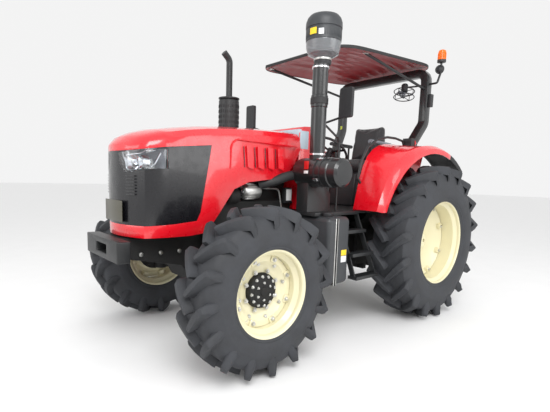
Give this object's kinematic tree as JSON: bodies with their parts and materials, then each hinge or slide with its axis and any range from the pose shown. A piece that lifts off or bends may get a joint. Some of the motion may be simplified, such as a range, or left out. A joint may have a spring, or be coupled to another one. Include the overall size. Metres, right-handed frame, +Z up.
{
  "type": "farm tractor",
  "caption": "Open-platform farm tractor: driven steered front wheels, large rear wheels, lifting bonnet, roll-over frame with canopy and a rear three-point hitch.",
  "frame": {"origin": "ground level, at the middle of the tractor's length and width", "axes": "+X forward, +Y to the tractor's left, +Z up"},
  "size_m": [4.27, 2.21, 2.895],
  "materials": {
    "red_paint": "gloss",
    "cream_paint": "satin",
    "black_paint": "satin",
    "black_casting": "matt",
    "tyre": "matt",
    "rubber": "matt",
    "grey_plastic": "matt",
    "steel": "satin",
    "lens": "clear gloss",
    "amber": "translucent",
    "seat_cover": "vinyl",
    "plate_white": "satin",
    "black_plastic": "gloss"
  },
  "bodies": {
    "chassis": {"rear_axle_housing": "black_casting", "gearbox": "black_casting", "engine": "black_casting", "front_support": "black_casting", "front_weight_bracket": "black_casting", "front_axle_beam": "black_casting", "platform_floor": "black_paint", "dash_console": "red_paint", "steering_column": "black_paint", "seat_base": "black_paint", "seat_cushion": "seat_cover", "seat_backrest": "seat_cover", "roll_over_frame": "black_paint", "canopy": "red_paint", "beacon": "amber", "fan_guard": "black_plastic", "exhaust": "black_paint", "air_filter": "grey_plastic", "pre_cleaner": "grey_plastic", "fuel_tank": "grey_plastic", "battery_box": "grey_plastic", "fender_left": "red_paint", "fender_right": "red_paint", "fender_extension_left": "rubber", "fender_extension_right": "rubber", "step_left": "black_paint", "step_right": "black_paint", "mirror_left": "black_paint", "mirror_right": "black_paint", "grab_rail_left": "black_paint", "grab_rail_right": "black_paint"},
    "hood": {"hood": "red_paint", "nose_mask": "black_plastic", "headlamp_left": "lens", "headlamp_right": "lens", "number_plate": "plate_white"},
    "steer_left": {"knuckle_left": "black_casting"},
    "steer_right": {"knuckle_right": "black_casting"},
    "tie_rod": {"tie_rod": "steel"},
    "front_wheel_left": {"front_tyre_left": "tyre", "front_rim_left": "cream_paint", "front_hub_left": "black_casting"},
    "front_wheel_right": {"front_tyre_right": "tyre", "front_rim_right": "cream_paint", "front_hub_right": "black_casting"},
    "rear_wheel_left": {"rear_tyre_left": "tyre", "rear_rim_left": "cream_paint"},
    "rear_wheel_right": {"rear_tyre_right": "tyre", "rear_rim_right": "cream_paint"},
    "steering_wheel": {"steering_wheel": "black_plastic"},
    "lower_links": {"lower_link_left": "black_casting", "lower_link_right": "black_casting"},
    "lift_arms": {"lift_arms": "black_casting"},
    "lift_rods": {"lift_rod_left": "steel", "lift_rod_right": "steel"},
    "fan_rotor": {"fan_blades": "grey_plastic"}
  },
  "joints": [
    {"name": "hood_lift", "type": "hinge", "parent": "chassis", "child": "hood", "pos_m": [0.415, 0, 1.856], "axis": [0, -1, 0], "range_deg": [0, 55]},
    {"name": "steer_left", "type": "hinge", "parent": "chassis", "child": "steer_left", "pos_m": [1.305, 0.72, 0.62], "axis": [0, 0, 1], "range_deg": [-40, 40]},
    {"name": "steer_right", "type": "hinge", "parent": "chassis", "child": "steer_right", "pos_m": [1.305, -0.72, 0.62], "axis": [0, 0, 1], "range_deg": [-40, 40]},
    {"name": "tie_rod_turn", "type": "hinge", "parent": "steer_left", "child": "tie_rod", "pos_m": [1.135, 0.72, 0.495], "axis": [0, 0, 1], "range_deg": [-40, 40]},
    {"name": "steering_wheel_turn", "type": "hinge", "parent": "chassis", "child": "steering_wheel", "pos_m": [-0.415, 0, 1.755], "axis": [-0.6691, 0, 0.7431], "range_deg": [-560, 560]},
    {"name": "front_wheel_left_spin", "type": "hinge", "parent": "steer_left", "child": "front_wheel_left", "pos_m": [1.305, 0.89, 0.62], "axis": [0, 1, 0], "continuous": true},
    {"name": "front_wheel_right_spin", "type": "hinge", "parent": "steer_right", "child": "front_wheel_right", "pos_m": [1.305, -0.89, 0.62], "axis": [0, 1, 0], "continuous": true},
    {"name": "rear_wheel_left_spin", "type": "hinge", "parent": "chassis", "child": "rear_wheel_left", "pos_m": [-1.015, 0.89, 0.805], "axis": [0, 1, 0], "continuous": true},
    {"name": "rear_wheel_right_spin", "type": "hinge", "parent": "chassis", "child": "rear_wheel_right", "pos_m": [-1.015, -0.89, 0.805], "axis": [0, 1, 0], "continuous": true},
    {"name": "lower_link_lift", "type": "hinge", "parent": "chassis", "child": "lower_links", "pos_m": [-1.155, 0, 0.5], "axis": [0, 1, 0], "range_deg": [-15, 28]},
    {"name": "lift_arm_turn", "type": "hinge", "parent": "chassis", "child": "lift_arms", "pos_m": [-1.275, 0, 1.03], "axis": [0, 1, 0], "range_deg": [-22.5, 41.5]},
    {"name": "lift_rod_swing", "type": "hinge", "parent": "lift_arms", "child": "lift_rods", "pos_m": [-1.655, 0, 1.03], "axis": [0, 1, 0], "range_deg": [-42, 23]},
    {"name": "fan_spin", "type": "hinge", "parent": "chassis", "child": "fan_rotor", "pos_m": [-1.265, 0.35, 2.46], "axis": [0.1952, 0.0976, -0.9759], "continuous": true}
  ],
  "couplings": [
    {"joint": "steer_right", "follows": "steer_left", "ratio": 1},
    {"joint": "tie_rod_turn", "follows": "steer_left", "ratio": -1},
    {"joint": "steering_wheel_turn", "follows": "steer_left", "ratio": 14},
    {"joint": "lift_arm_turn", "follows": "lower_link_lift", "ratio": 1.4516},
    {"joint": "lift_rod_swing", "follows": "lower_link_lift", "ratio": -1.4725}
  ]
}
